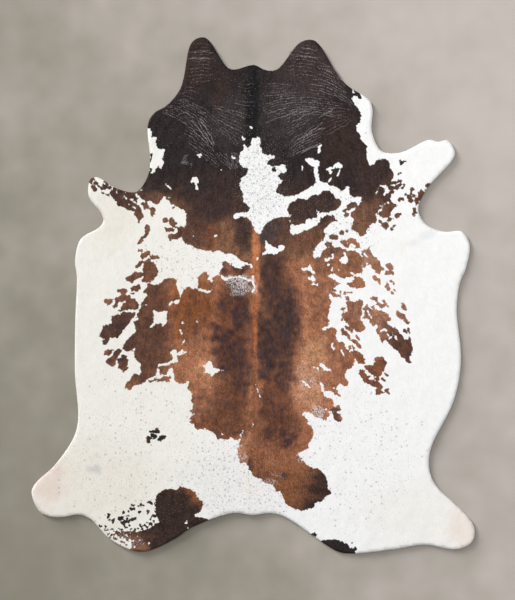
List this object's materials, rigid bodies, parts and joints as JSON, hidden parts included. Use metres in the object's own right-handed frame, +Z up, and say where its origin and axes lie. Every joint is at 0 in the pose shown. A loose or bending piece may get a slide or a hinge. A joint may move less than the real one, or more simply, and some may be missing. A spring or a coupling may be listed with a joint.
{
  "type": "cowhide rug",
  "caption": "Whole hair-on cowhide rug in one piece, lying flat hair side up, with neck lobes, shanks, creased neck and irregular curved outline.",
  "frame": {"origin": "on the floor, under the centre of the hide's bounding box", "axes": "+Z up out of the hair side, +Y along the backbone towards the neck, +X towards the hide's right side"},
  "size_m": [1.994, 2.322, 0.0068],
  "materials": {
    "cowhide": "short lying hair, ivory white with black-brown and chestnut patches"
  },
  "bodies": {
    "root": {"hide": "cowhide"}
  },
  "joints": []
}
